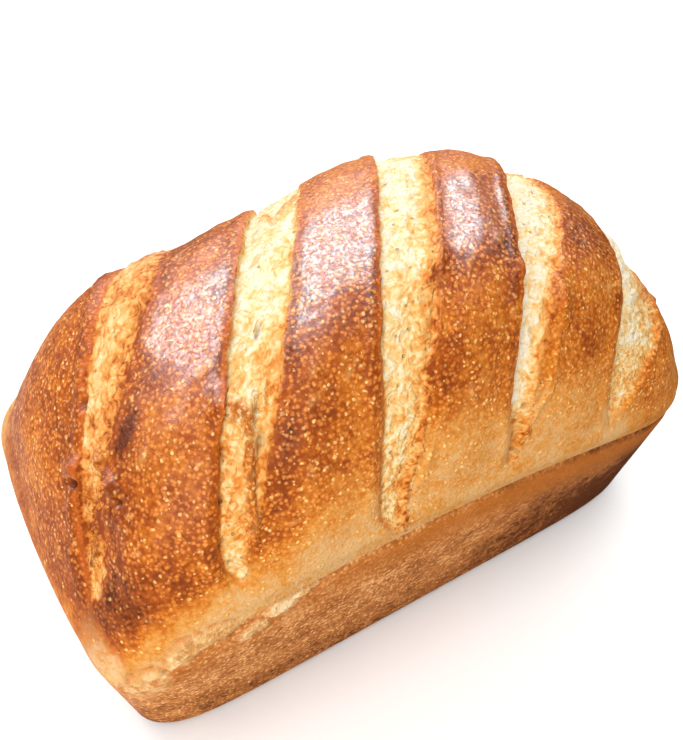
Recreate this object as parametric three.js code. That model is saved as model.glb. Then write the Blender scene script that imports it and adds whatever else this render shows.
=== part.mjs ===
import * as THREE from "three";
import { mergeVertices } from "three/addons/utils/BufferGeometryUtils.js";

// A white loaf baked in a tin. The tin held its lower part square, with drafted sides,
// and the crown rose over the rim and opened along five slanting cuts.
// Millimetres: X runs along the loaf, Y to its back, Z up, from the middle of the base.

// The part that the tin held.
const baseLength = 210;
const baseWidth = 103;
const rimLength = 221;
const rimWidth = 114;
const rimHeight = 57;
const tinSquareness = 8;
const baseEdgeRadius = 5;

// The crown, as if it were not cut.
const crownLength = 229;
const crownWidth = 117;
const crownSpring = 40;
const loafHeight = 145.8;
const crownSquareness = 6;
const crownShift = 0.9;
const lengthFullness = 2.08;
const widthFullness = 2.67;

// Where the crown rose a little more or less than its even form.
const unevenness = [
  { x: -30, y: 36, size: 24, lift: -3 },
  { x: -68, y: 28, size: 20, lift: 4.4 },
  { x: 28, y: 30, size: 22, lift: 1.2 },
  { x: 82, y: -8, size: 20, lift: 0.5 },
  { x: 101, y: -4, size: 16, lift: 1.8 },
  { x: -113, y: -28, size: 20, lift: -3 },
];

// The torn seam where the crown comes down over the tin part.
const seamArch = 19;
const seamPeak = -32;
const seamReachLeft = 85;
const seamReachRight = 122;
const seamGroove = 1.9;
const seamWidth = 2.2;
const overhangSwell = 1.3;
const overhangHeight = 11;
const overhangTuck = 2.6;
const shoulder = 12;
const shredDrop = 10;
const shredReach = 20;

// The cuts. Each one is named by where its middle crosses the ridge of the loaf, in X.
// Its ends are measured down the side from the ridge, to the front below zero.
const cutTurn = 33;
const edgeWall = 1.3;
const endSlope = 9;
const narrowest = 6;
const cuts = [
  { at: -77.5, lean: 0.1, width: 18, front: -68, full: -14, back: 60, step: 2.7, high: 0.4, rise: 0.5 },
  { at: -31.5, lean: -0.04, width: 18.5, front: -73, full: -24, back: 62, step: 2.7, high: 2.4, rise: 0.5 },
  { at: 13.5, lean: -0.07, width: 20, front: -88, full: -30, back: 64, step: 2.5, high: 1.8, rise: 0.4 },
  { at: 58.5, lean: 0.03, width: 18, front: -81, full: -18, back: 62, step: 5.2, high: 4.6, rise: 0.8 },
  { at: 99, lean: -0.06, width: 22, front: -90, full: -48, back: 50, step: 4, high: 0.8, rise: 0.8 },
];
// How round each cut's ends are: 2 is an ellipse, and more is blunter.
const endRound = [2, 2.4, 2, 2, 2];

// Where an edge of a cut strays from its even line, left (0) or right (1). The size is its reach.
const strays = [
  { cut: 0, side: 0, down: 12, size: 12, shift: -1.8 },
  { cut: 0, side: 0, down: -60, size: 9, shift: 2.5 },
  { cut: 0, side: 1, down: -16, size: 20, shift: -5 },
  { cut: 0, side: 1, down: -34, size: 9, shift: -3 },
  { cut: 0, side: 1, down: -60, size: 10, shift: 1.6 },
  { cut: 1, side: 0, down: -52, size: 24, shift: -2.6 },
  { cut: 1, side: 0, down: -66, size: 10, shift: -2.5 },
  { cut: 1, side: 1, down: -56, size: 26, shift: -5 },
  { cut: 1, side: 1, down: -64, size: 14, shift: -3.2 },
  { cut: 2, side: 0, down: -50, size: 14, shift: 0.6 },
  { cut: 2, side: 0, down: -74, size: 14, shift: -2.5 },
  { cut: 2, side: 1, down: -66, size: 22, shift: -6 },
  { cut: 3, side: 0, down: -34, size: 22, shift: 3 },
  { cut: 3, side: 0, down: -66, size: 14, shift: 3 },
  { cut: 3, side: 1, down: -6, size: 20, shift: 4.5 },
  { cut: 3, side: 1, down: -50, size: 10, shift: -3 },
  { cut: 4, side: 0, down: -30, size: 22, shift: 4 },
  { cut: 4, side: 0, down: -88, size: 12, shift: -2.5 },
  { cut: 4, side: 1, down: -53, size: 12, shift: 3.5 },
  { cut: 4, side: 1, down: -88, size: 10, shift: -5 },
];
const crumbSwell = 0.8;
const bandSwell = 1.6;
const bandSag = 9;
const lipHeight = 0.9;
const lipWidth = 4;

// Crust left standing across and beside the cuts: size is its reach, and lift its height.
const crags = [
  { across: -89.5, down: -14, size: 4, lift: 1.6 },
  { across: -79.5, down: -13.5, size: 4, lift: 1.4 },
  { across: -75, down: -21.5, size: 4.5, lift: 2 },
  { across: -38, down: -25.5, size: 4.5, lift: 2.4 },
  { across: -33.5, down: -29, size: 4, lift: 2.4 },
  { across: -31, down: -38, size: 4, lift: 1.4 },
  { across: -29, down: -48, size: 4, lift: 1.4 },
  { across: 24, down: -18, size: 5, lift: 1.4 },
  { across: 68, down: -36, size: 5, lift: 1.6 },
];

// The grid that the surface is drawn on.
const coreHalf = 85;
const coreHeight = 70;
const guideLength = 222;
const guideWidth = 116;
const wallRows = [0, 0.025, 0.09, 0.24, 0.42, 0.6, 0.76, 0.88, 0.95, 0.985];
const seamRows = [1.5, 4, 8, 13];
const fanRows = 11;
const acrossSteps = 16;
const capSteps = 7;
const bandSteps = 5;
const lineSpace = 5;
const heartHalf = 62;

const turn = Math.tan(THREE.MathUtils.degToRad(cutTurn));
const { clamp, lerp, smoothstep } = THREE.MathUtils;

function seamHeight(x, y) {
  const along = (x - seamPeak) / (x < seamPeak ? seamReachLeft : seamReachRight);
  const arch = seamArch * Math.max(0, 1 - along * along);
  const corner = Math.hypot(x + rimLength / 2, y + rimWidth / 2) / shredReach;
  return rimHeight + arch * Math.abs(y / rimWidth) * 2 - shredDrop * Math.exp(-corner * corner);
}

// How far round the loaf a point lies, measured from the ridge and down the side.
function girth(y, z) {
  const side = Math.max(0, 110 - z);
  return y + Math.sign(y) * side;
}

function cutWidth(cut, down) {
  const end = down < 0 ? cut.front : cut.back;
  const start = down < 0 ? cut.full : cut.back - 25;
  const past = clamp((down - start) / (end - start), 0, 1);
  const round = endRound[cuts.indexOf(cut)];
  return cut.width * (1 - past ** round) ** (1 / round);
}

function cutEdges(cut, down, least) {
  const middle = cut.at + cut.lean * down;
  const half = cutWidth(cut, down) / 2;
  const edges = [middle - half, middle + half];
  for (const stray of strays.filter((each) => cuts[each.cut] === cut)) {
    edges[stray.side] += stray.shift * Math.exp(-(((down - stray.down) / stray.size) ** 2));
  }
  const spare = Math.max(0, least - (edges[1] - edges[0])) / 2;
  return [edges[0] - spare, edges[1] + spare];
}

function inPlan(x, y, length, width, squareness) {
  const along = Math.abs((2 * x) / length);
  const across = Math.abs((2 * y) / width);
  return along ** squareness + across ** squareness < 1;
}

function tinHolds(x, y, z) {
  const up = z / rimHeight;
  const rounding = Math.max(0, 1 - z / baseEdgeRadius);
  const trim = 2 * baseEdgeRadius * (1 - Math.sqrt(1 - rounding * rounding));
  const length = lerp(baseLength, rimLength, up) - trim;
  const width = lerp(baseWidth, rimWidth, up) - trim;
  return inPlan(x, y, length, width, tinSquareness);
}

function crownHolds(x, y, z, seam) {
  const tucked = 1 - clamp((z - seam) / overhangHeight, 0, 1);
  const tuck = 2 * overhangTuck * tucked * tucked;
  const along = Math.abs((2 * (x - crownShift)) / (crownLength - tuck));
  if (along >= 1) {
    return false;
  }
  const taper = (1 - along ** crownSquareness) ** (1 / crownSquareness);
  const across = Math.abs((2 * y) / ((crownWidth - tuck) * taper));
  if (across >= 1) {
    return false;
  }
  const lengthways = (1 - along ** lengthFullness) ** (1 / lengthFullness);
  const widthways = (1 - across ** widthFullness) ** (1 / widthFullness);
  return z < crownSpring + (loafHeight - crownSpring) * lengthways * widthways;
}

// The dough just over the seam turns in from the line of the tin wall.
function shoulderHolds(x, y, z, seam) {
  const over = (z - seam) / shoulder;
  if (over >= 1) {
    return false;
  }
  const inset = 2 * shoulder * (1 - Math.sqrt(1 - over * over));
  return inPlan(x, y, rimLength - inset, rimWidth - inset, tinSquareness);
}

function holds({ x, y, z }) {
  const seam = seamHeight(x, y);
  if (z < seam) {
    return tinHolds(x, y, Math.min(z, rimHeight));
  }
  return crownHolds(x, y, z, seam) || shoulderHolds(x, y, z, seam);
}

// The last point of the loaf on the way from its core to a target outside it.
function castOut(core, target) {
  let near = 0;
  let far = 1.2;
  for (let tries = 0; tries < 30; tries += 1) {
    const middle = (near + far) / 2;
    if (holds(core.clone().lerp(target, middle))) {
      near = middle;
    } else {
      far = middle;
    }
  }
  return core.clone().lerp(target, near);
}

// The depth of the relief under the uncut form, with swellings below zero.
function relief(point) {
  const across = point.x - turn * point.y;
  const down = girth(point.y, point.z);
  const high = smoothstep(point.z, seamHeight(point.x, point.y) + 6, 96);
  let depth = 0;
  let nearest = Infinity;
  for (const cut of cuts) {
    const [left, right] = cutEdges(cut, down, 0.1);
    const open = smoothstep(Math.min(down - cut.front, cut.back - down), 0, endSlope);
    const outside = Math.max(left - across, across - right);
    nearest = Math.min(nearest, Math.max(0, outside));
    const inside = smoothstep(-outside, 0, edgeWall);
    const place = clamp((across - left) / (right - left), 0, 1);
    const deep = lerp(cut.high, cut.step, smoothstep(-down, 5, 40));
    const floor = deep * (1 - cut.rise * place * place) - crumbSwell * Math.sin(Math.PI * place);
    depth += floor * inside * open;
    const lip = Math.exp(-(((across - left + lipWidth / 2) / (lipWidth / 2)) ** 2));
    depth -= lipHeight * lip * open * high;
  }
  const swell = 1 - Math.exp(-nearest / bandSag);
  depth -= bandSwell * swell * high;
  for (const rise of unevenness) {
    const away = Math.hypot(point.x - rise.x, point.y - rise.y) / rise.size;
    depth -= rise.lift * Math.exp(-away * away) * high;
  }
  for (const crag of crags) {
    const away = Math.hypot(across - crag.across, down - crag.down) / crag.size;
    depth -= crag.lift * Math.exp(-away * away * 2);
  }
  const over = point.z - seamHeight(point.x, point.y);
  depth += seamGroove * Math.exp(-((over / seamWidth) ** 2));
  depth -= overhangSwell * Math.exp(-(((over - 8) / 6) ** 2));
  return depth;
}

// The heights of the rows, from the base to the seam and then to the top of the fan.
function rowHeight(row, x, y) {
  const seam = seamHeight(x, y);
  if (row < wallRows.length) {
    return seam * wallRows[row];
  }
  if (row < wallRows.length + seamRows.length) {
    return seam + seamRows[row - wallRows.length];
  }
  const last = seam + seamRows[seamRows.length - 1];
  const step = (row - wallRows.length - seamRows.length + 1) / fanRows;
  return lerp(last, loafHeight, step ** 0.9);
}
const upSteps = wallRows.length + seamRows.length + fanRows - 1;

// Lines run along both edges of each cut, and evenly over the crust between them.
function makeLines() {
  const lines = [];
  const addGap = (gap, steps) => {
    for (let step = 1; step < steps; step += 1) {
      lines.push({ gap, share: step / steps, wall: 0 });
    }
  };
  cuts.forEach((cut, place) => {
    const gap = 2 * place + 1;
    addGap(gap - 1, place ? bandSteps : capSteps);
    lines.push({ gap, share: 0, wall: 0 });
    lines.push({ gap, share: 0, wall: 1 });
    lines.push({ gap, share: 1 / 3, wall: 0 });
    lines.push({ gap, share: 2 / 3, wall: 0 });
    lines.push({ gap, share: 1, wall: -1 });
    lines.push({ gap, share: 1, wall: 0 });
  });
  addGap(2 * cuts.length, capSteps);
  return lines;
}
const lines = makeLines();
const alongSteps = lines.length + 1;

// Where a line crosses a ring of the loaf, between the ring's two end points.
function lineX(number, point, leftEnd, rightEnd) {
  const down = clamp(girth(point.y, point.z), -90, 90);
  const landmarks = [leftEnd];
  cuts.forEach((cut, place) => {
    for (const [side, edge] of cutEdges(cut, down, narrowest).entries()) {
      const order = 2 * place + side + 1;
      const lowest = leftEnd + lineSpace * order;
      const highest = rightEnd - lineSpace * (2 * cuts.length + 1 - order);
      landmarks.push(clamp(edge + turn * point.y, lowest, highest));
    }
  });
  landmarks.push(rightEnd);
  const { gap, share, wall } = lines[number - 1];
  const room = landmarks[gap + 1] - landmarks[gap];
  return landmarks[gap] + room * share + wall * Math.min(edgeWall, room / 4);
}

// Puts the box's grid on the loaf. Each point is cast out from the core beneath it.
function shapeLoaf() {
  const box = new THREE.BoxGeometry(2, 2, 2, alongSteps, acrossSteps, upSteps);
  const bottom = box.groups[5].start;
  box.setIndex(Array.from(box.index.array.slice(0, bottom)));
  box.clearGroups();
  box.deleteAttribute("normal");
  box.deleteAttribute("uv");
  const shell = mergeVertices(box, 1e-4);
  const spots = shell.getAttribute("position");
  const castEnd = (side, across, row) => {
    const aim = new THREE.Vector3((side * guideLength) / 2, (across * guideWidth) / 2, 0);
    let point = aim;
    for (let tries = 0; tries < 3; tries += 1) {
      aim.z = rowHeight(row, point.x, point.y);
      point = castOut(new THREE.Vector3(side * coreHalf, 0, Math.min(aim.z, coreHeight)), aim);
    }
    return point;
  };
  const ends = new Map();
  const endX = (side, across, row) => {
    const key = [side, across.toFixed(4), row].join();
    if (!ends.has(key)) {
      ends.set(key, castEnd(side, across, row).x);
    }
    return ends.get(key);
  };
  for (let index = 0; index < spots.count; index += 1) {
    const along = spots.getX(index);
    const across = spots.getY(index);
    const row = Math.round(((spots.getZ(index) + 1) / 2) * upSteps);
    const number = Math.round(((along + 1) / 2) * alongSteps);
    let point = castEnd(along, across, row);
    if (number > 0 && number < alongSteps) {
      const leftEnd = endX(-1, across, row);
      const rightEnd = endX(1, across, row);
      for (let tries = 0; tries < 5; tries += 1) {
        const x = lineX(number, point, leftEnd, rightEnd);
        const z = rowHeight(row, x, point.y);
        const aim = new THREE.Vector3(x, (across * guideWidth) / 2, z);
        point = castOut(new THREE.Vector3(x, 0, Math.min(z, coreHeight)), aim);
      }
    }
    const heart = new THREE.Vector3(clamp(point.x, -heartHalf, heartHalf), 0, 0);
    heart.z = Math.min(point.z, coreHeight);
    const inward = heart.sub(point).normalize();
    point.addScaledVector(inward, relief(point) * smoothstep(point.z, 20, 50));
    spots.setXYZ(index, point.x, point.y, point.z);
  }
  return shell;
}

// Closes the open foot of the shell with a flat base, drawn from its middle.
function closeBase(shell) {
  const spots = shell.getAttribute("position");
  const foot = [];
  for (let index = 0; index < spots.count; index += 1) {
    if (spots.getZ(index) < 1e-3) {
      spots.setZ(index, 0);
      foot.push({ index, angle: Math.atan2(spots.getY(index), spots.getX(index)) });
    }
  }
  foot.sort((one, other) => one.angle - other.angle);
  const faces = Array.from(shell.index.array);
  foot.forEach(({ index }, place) => {
    faces.push(spots.count, foot[(place + 1) % foot.length].index, index);
  });
  const closed = new THREE.BufferGeometry();
  const values = [...spots.array, 0, 0, 0];
  closed.setAttribute("position", new THREE.Float32BufferAttribute(values, 3));
  closed.setIndex(faces);
  closed.computeVertexNormals();
  return closed;
}

const crust = new THREE.MeshStandardMaterial({ color: 0xb4692c, roughness: 0.42, metalness: 0 });
const loafGeometry = closeBase(shapeLoaf());
loafGeometry.computeBoundingBox();
const middle = loafGeometry.boundingBox.getCenter(new THREE.Vector3());
loafGeometry.translate(-middle.x, -middle.y, 0);
const loaf = new THREE.Mesh(loafGeometry, crust);
loaf.name = "loaf";

const group = new THREE.Group();
group.add(loaf);

export default group;
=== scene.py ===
import math
import random
import bpy
import numpy as np
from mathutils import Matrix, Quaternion, Vector, noise


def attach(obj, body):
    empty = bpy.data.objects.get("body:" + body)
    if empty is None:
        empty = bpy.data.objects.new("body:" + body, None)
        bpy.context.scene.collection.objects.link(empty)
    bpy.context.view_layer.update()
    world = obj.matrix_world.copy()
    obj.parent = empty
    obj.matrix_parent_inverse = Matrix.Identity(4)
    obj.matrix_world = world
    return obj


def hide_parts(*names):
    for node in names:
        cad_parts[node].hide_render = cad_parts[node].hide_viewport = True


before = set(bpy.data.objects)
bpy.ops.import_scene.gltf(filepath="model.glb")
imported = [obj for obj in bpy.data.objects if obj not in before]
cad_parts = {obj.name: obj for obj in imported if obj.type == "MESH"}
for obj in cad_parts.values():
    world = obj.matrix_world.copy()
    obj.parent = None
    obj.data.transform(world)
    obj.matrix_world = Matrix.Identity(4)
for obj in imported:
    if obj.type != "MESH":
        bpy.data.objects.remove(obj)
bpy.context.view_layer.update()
mm = 0.001
print("frame loaded")


def smooth(value, low, high):
    share = np.clip((value - low) / (high - low), 0, 1)
    return share * share * (3 - 2 * share)


def mix(one, other, share):
    return one + (other - one) * share


def bell(value, width):
    return np.exp(-(value / width) ** 2)


def ripple(spots, size, seed):  # soft noise from about -1 to 1, its lumps one size wide
    away = Vector((seed * 3.7, seed * 5.3, seed * 7.1))
    return np.array([noise.noise(Vector(spot) / size + away) for spot in spots])


def ripples(spots, layers):  # soft noise in layers: how much, size and seed of each
    return sum(much * ripple(spots, size, seed) for much, size, seed in layers)


# the loaf's form, in millimetres
form = {
    "baseLength": 210, "baseWidth": 103, "rimLength": 221, "rimWidth": 114, "rimHeight": 57,
    "tinSquareness": 8, "baseEdgeRadius": 5,
    "crownLength": 229, "crownWidth": 117, "crownSpring": 40, "loafHeight": 145.8,
    "crownSquareness": 6, "crownShift": 0.9, "lengthFullness": 2.08, "widthFullness": 2.67,
    "seamArch": 19, "seamPeak": -32, "seamReachLeft": 85, "seamReachRight": 122,
    "seamGroove": 1.9, "seamWidth": 2.2,
    "overhangSwell": 1.3, "overhangHeight": 11, "overhangTuck": 2.6, "shoulder": 12,
    "shredDrop": 10, "shredReach": 20,
    "crumbSwell": 0.8, "bandSwell": 1.6, "bandSag": 9, "lipHeight": 0.7, "lipWidth": 4, "lean": 0.55,
    "edgeWall": 1.3, "lowWall": 3.2, "narrowest": 7, "leftWaver": 0.32, "rightWaver": 0.7,
    "centreShift": 0.902,  # from the middle of the tin to the middle of the whole loaf
    "girthHeight": 110,  # under it, girth counts down the walls
    "slant": 33,  # degrees that the cuts turn from square across the loaf
    "backTaper": 25,
    "waves": [(0.55, 3.1, 2.1), (0.45, 1.37, 5.3), (0.28, 0.83, 3.7)],  # how much, how long, seed's turn
}
cutTurn = math.tan(math.radians(form["slant"]))

# slope is how slowly it gets deep at its ends, soft how wide its right edge fades into the crust,
# far and low how much browner its right side and its lower part are, and pale where that stops
cuts = [
    {"at": -77.5, "lean": 0.1, "width": 18, "front": -68, "full": -14, "back": 60, "round": 2,
     "step": 2.7, "high": 0.4, "rise": 0.5, "slope": 7,
     "toast": 0.46, "soft": 1.3, "far": 0.3, "low": 0.34, "pale": 33,
     "strays": [(0, 12, 12, -1.8), (0, -60, 9, 2.5), (1, -16, 20, -5), (1, -34, 9, -3), (1, -60, 10, 1.6)]},
    {"at": -31.5, "lean": -0.04, "width": 18.5, "front": -73, "full": -24, "back": 62, "round": 2.4,
     "step": 2.7, "high": 2.4, "rise": 0.5, "slope": 4,
     "toast": 0.1, "soft": 1.2, "far": 0.1, "low": 0.38, "pale": 50,
     "strays": [(0, -52, 24, -2.6), (0, -66, 10, -2.5), (1, -56, 26, -5), (1, -64, 14, -3.2)]},
    {"at": 13.5, "lean": -0.07, "width": 20, "front": -88, "full": -30, "back": 64, "round": 2,
     "step": 2.5, "high": 1.8, "rise": 0.4, "slope": 24,
     "toast": 0.08, "soft": 1.6, "far": 0.4, "low": 0.22, "pale": 99,
     "strays": [(0, -50, 14, 0.6), (0, -74, 14, -2.5), (1, -66, 22, -6)]},
    {"at": 58.5, "lean": 0.03, "width": 18, "front": -81, "full": -18, "back": 62, "round": 2,
     "step": 5.2, "high": 4.6, "rise": 0.8, "slope": 6,
     "toast": -0.04, "soft": 2.2, "far": 0.46, "low": 0.12, "pale": 99,
     "strays": [(0, -34, 22, 3), (0, -66, 14, 3), (1, -6, 20, 4.5), (1, -50, 10, -3)]},
    {"at": 99, "lean": -0.06, "width": 22, "front": -90, "full": -48, "back": 50, "round": 2,
     "step": 4, "high": 0.8, "rise": 0.8, "slope": 8,
     "toast": -0.04, "soft": 2.2, "far": 0.4, "low": 0.12, "pale": 99,
     "strays": [(0, -30, 22, 4), (0, -88, 12, -2.5), (1, -53, 12, 3.5), (1, -88, 10, -5)]},
]

unevenness = [  # x, y, reach, lift
    (-30, 36, 24, -3), (-68, 28, 20, 4.4), (28, 30, 22, 1.2), (82, -8, 20, 0.5), (101, -4, 16, 1.8),
    (-113, -28, 20, -3),
]

crags = [  # across, down, reach, lift
    (-89.5, -14, 4, 1.6), (-79.5, -13.5, 4, 1.4), (-75, -21.5, 4.5, 2), (-38, -25.5, 4.5, 2.4),
    (-33.5, -29, 4, 2.4), (-31, -38, 4, 1.4), (-29, -48, 4, 1.4), (24, -18, 5, 1.4), (68, -36, 5, 1.6),
]


def seamHeight(x, y):
    reach = np.where(x < form["seamPeak"], form["seamReachLeft"], form["seamReachRight"])
    along = (x - form["seamPeak"]) / reach
    arch = form["seamArch"] * np.maximum(0, 1 - along ** 2)
    corner = np.hypot(x + form["rimLength"] / 2, y + form["rimWidth"] / 2) / form["shredReach"]
    lift = arch * np.abs(y / form["rimWidth"]) * 2
    return form["rimHeight"] + lift - form["shredDrop"] * np.exp(-corner ** 2)


def girth(y, z):  # how far round the loaf, from the ridge and down the side
    return y + np.sign(y) * np.maximum(0, form["girthHeight"] - z)


def waver(down, seed):  # how a torn edge strays from side to side on its way down
    return sum(much * np.sin(down / length + seed * turn) for much, length, turn in form["waves"])


def cutEdges(cut, down, least):  # the left and right edge of a cut, across the loaf
    front = down < 0
    end = np.where(front, cut["front"], cut["back"])
    start = np.where(front, cut["full"], cut["back"] - form["backTaper"])
    past = np.clip((down - start) / (end - start), 0, 1)
    half = cut["width"] * (1 - past ** cut["round"]) ** (1 / cut["round"]) / 2
    middle = cut["at"] + cut["lean"] * down
    edges = [middle - half + form["leftWaver"] * waver(down, cut["at"]),
             middle + half + form["rightWaver"] * waver(down, cut["at"] + 7)]
    for side, strayDown, reach, stray in cut["strays"]:
        edges[side] = edges[side] + stray * bell(down - strayDown, reach)
    spare = np.maximum(0, least - (edges[1] - edges[0])) / 2
    return edges[0] - spare, edges[1] + spare


def inPlan(x, y, length, width):
    square = form["tinSquareness"]
    return np.abs(2 * x / length) ** square + np.abs(2 * y / width) ** square < 1


def tinHolds(x, y, z):
    up = z / form["rimHeight"]
    rounding = np.clip(1 - z / form["baseEdgeRadius"], 0, 1)
    trim = 2 * form["baseEdgeRadius"] * (1 - np.sqrt(1 - rounding ** 2))
    length = mix(form["baseLength"], form["rimLength"], up) - trim
    width = mix(form["baseWidth"], form["rimWidth"], up) - trim
    return inPlan(x, y, length, width)


def crownHolds(x, y, z, seam):
    tucked = 1 - np.clip((z - seam) / form["overhangHeight"], 0, 1)
    tuck = 2 * form["overhangTuck"] * tucked ** 2
    along = np.abs(2 * (x - form["crownShift"]) / (form["crownLength"] - tuck))
    alongIn = np.minimum(along, 0.999999)
    square = form["crownSquareness"]
    taper = (1 - alongIn ** square) ** (1 / square)
    across = np.abs(2 * y / ((form["crownWidth"] - tuck) * taper))
    acrossIn = np.minimum(across, 0.999999)
    lengthways = (1 - alongIn ** form["lengthFullness"]) ** (1 / form["lengthFullness"])
    widthways = (1 - acrossIn ** form["widthFullness"]) ** (1 / form["widthFullness"])
    top = form["crownSpring"] + (form["loafHeight"] - form["crownSpring"]) * lengthways * widthways
    return (along < 1) & (across < 1) & (z < top)


def shoulderHolds(x, y, z, seam):
    over = (z - seam) / form["shoulder"]
    inset = 2 * form["shoulder"] * (1 - np.sqrt(1 - np.clip(over, 0, 1) ** 2))
    return (over < 1) & inPlan(x, y, form["rimLength"] - inset, form["rimWidth"] - inset)


def holds(spots):
    x, y, z = spots.T
    seam = seamHeight(x, y)
    low = tinHolds(x, y, np.minimum(z, form["rimHeight"]))
    high = crownHolds(x, y, z, seam) | shoulderHolds(x, y, z, seam)
    return np.where(z < seam, low, high)


# the grid that the loaf is drawn on: rows up its walls and lines across it
grid = {
    "wallRows": [0, 0.006, 0.018, 0.036, 0.06, 0.09]
    + list(np.linspace(0.13, 0.9, 18))
    + [0.925, 0.945, 0.96, 0.972, 0.982, 0.99, 0.996],
    "seamRows": [0.5, 1.1, 1.8, 2.6, 3.5, 4.5, 5.7, 7, 8.4, 9.8, 11.4, 13],
    "fanRows": 52, "acrossSteps": 64,
    "capSteps": 27, "bandSteps": 24, "crumbSteps": 23, "wallSteps": 4, "farWallSteps": 3,
    "coreHalf": 85, "coreHeight": 70, "guideLength": 222, "guideWidth": 116,
    "lineSpace": 5, "heartHalf": 62, "bunching": 0.08, "fanBunching": 0.9, "firmFrom": 20, "firmTo": 50,
    "castReach": 1.2, "halvings": 22, "endRounds": 3, "rounds": 5,  # how finely a point is cast
}


def castOut(core, aim):  # the last point of the loaf on the way from its core to an aim
    near = np.zeros(len(core))
    far = np.full(len(core), grid["castReach"])
    for tries in range(grid["halvings"]):
        middle = (near + far) / 2
        held = holds(core + (aim - core) * middle[:, None])
        near = np.where(held, middle, near)
        far = np.where(held, far, middle)
    return core + (aim - core) * near[:, None]


def rowHeight(row, x, y):
    walls, seams = len(grid["wallRows"]), len(grid["seamRows"])
    seam = seamHeight(x, y)
    share = np.array(grid["wallRows"])[np.clip(row, 0, walls - 1)]
    over = np.array(grid["seamRows"])[np.clip(row - walls, 0, seams - 1)]
    last = seam + grid["seamRows"][-1]
    step = np.clip((row - walls - seams + 1) / grid["fanRows"], 0, 1)
    fan = mix(last, form["loafHeight"], step ** grid["fanBunching"])
    return np.where(row < walls, seam * share, np.where(row < walls + seams, seam + over, fan))


def makeLines():  # gap between landmarks, share of the way over it, share of the wall's width
    lines = []

    def overCrust(gap, steps):
        for step in range(1, steps):
            share = step / steps
            lines.append((gap, share - grid["bunching"] * math.sin(2 * math.pi * share), 0))

    for place in range(len(cuts)):
        gap = 2 * place + 1
        overCrust(gap - 1, grid["bandSteps"] if place else grid["capSteps"])
        for step in range(grid["wallSteps"] + 1):
            lines.append((gap, 0, step / grid["wallSteps"]))
        for step in range(1, grid["crumbSteps"]):
            share = step / grid["crumbSteps"]
            lines.append((gap, share, 1 - 2 * share))
        for step in range(grid["farWallSteps"] + 1):
            lines.append((gap, 1, step / grid["farWallSteps"] - 1))
    overCrust(2 * len(cuts), grid["capSteps"])
    return np.array(lines)


def lineX(lines, number, spots, leftEnd, rightEnd):  # where a line crosses a ring of the loaf
    down = np.clip(girth(spots[:, 1], spots[:, 2]), -90, 90)
    marks = [leftEnd]
    order = 0
    for cut in cuts:
        for edge in cutEdges(cut, down, form["narrowest"]):
            order += 1
            lowest = leftEnd + grid["lineSpace"] * order
            highest = rightEnd - grid["lineSpace"] * (2 * len(cuts) + 1 - order)
            marks.append(np.clip(edge + cutTurn * spots[:, 1], lowest, highest))
    marks = np.array(marks + [rightEnd])
    gap, share, wall = lines[number - 1].T
    column = np.arange(len(spots))
    start = marks[gap.astype(int), column]
    room = marks[gap.astype(int) + 1, column] - start
    return start + room * share + wall * np.minimum(form["edgeWall"], room / 4)


def castEnd(along, across, row):
    aim = np.stack([along * grid["guideLength"] / 2, across * grid["guideWidth"] / 2, 0 * along], 1)
    spots = aim
    for tries in range(grid["endRounds"]):
        aim[:, 2] = rowHeight(row, spots[:, 0], spots[:, 1])
        core = np.stack([along * grid["coreHalf"], 0 * along, np.minimum(aim[:, 2], grid["coreHeight"])], 1)
        spots = castOut(core, aim)
    return spots


def castLoaf(along, across, row, number, columns, lines):
    spots = castEnd(along, across, row)
    rings, ring = np.unique(np.stack([across, row], 1).round(5), axis=0, return_inverse=True)
    ring = ring.ravel()
    ends = []
    for side in (-1.0, 1.0):
        edge = castEnd(np.full(len(rings), side), rings[:, 0], rings[:, 1].astype(int))
        ends.append(edge[ring, 0])
    inner = np.flatnonzero((number > 0) & (number < columns))
    part = spots[inner]
    for tries in range(grid["rounds"]):
        x = lineX(lines, number[inner], part, ends[0][inner], ends[1][inner])
        z = rowHeight(row[inner], x, part[:, 1])
        core = np.stack([x, 0 * x, np.minimum(z, grid["coreHeight"])], 1)
        part = castOut(core, np.stack([x, across[inner] * grid["guideWidth"] / 2, z], 1))
    spots[inner] = part
    return spots


def boxGrid(columns, rows):  # a cube cut into a grid, open below, with the grid's places
    bpy.ops.object.select_all(action="DESELECT")
    bpy.ops.mesh.primitive_cube_add(size=2)
    box = bpy.context.object
    bpy.ops.object.mode_set(mode="EDIT")
    bpy.ops.mesh.select_mode(type="FACE")
    pickFaces(box, lambda face: face.normal.z < -0.5)
    bpy.ops.mesh.delete(type="FACE")
    bpy.ops.mesh.select_mode(type="EDGE")
    for axis, cutsEach in ((0, (5, columns // 5)), (1, (grid["acrossSteps"],)), (2, (rows,))):
        for steps in cutsEach:
            pickEdges(box, axis)
            bpy.ops.mesh.subdivide(number_cuts=steps - 1)
    bpy.ops.object.mode_set(mode="OBJECT")
    return box


def pickFaces(piece, wanted):
    bpy.ops.mesh.select_all(action="DESELECT")
    bpy.ops.object.mode_set(mode="OBJECT")
    for face in piece.data.polygons:
        face.select = wanted(face)
    bpy.ops.object.mode_set(mode="EDIT")


def pickEdges(piece, axis):
    bpy.ops.mesh.select_all(action="DESELECT")
    bpy.ops.object.mode_set(mode="OBJECT")
    spots = piece.data.vertices
    for edge in piece.data.edges:
        way = spots[edge.vertices[0]].co - spots[edge.vertices[1]].co
        edge.select = abs(way[axis]) > 0.9 * way.length
    bpy.ops.object.mode_set(mode="EDIT")


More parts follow.
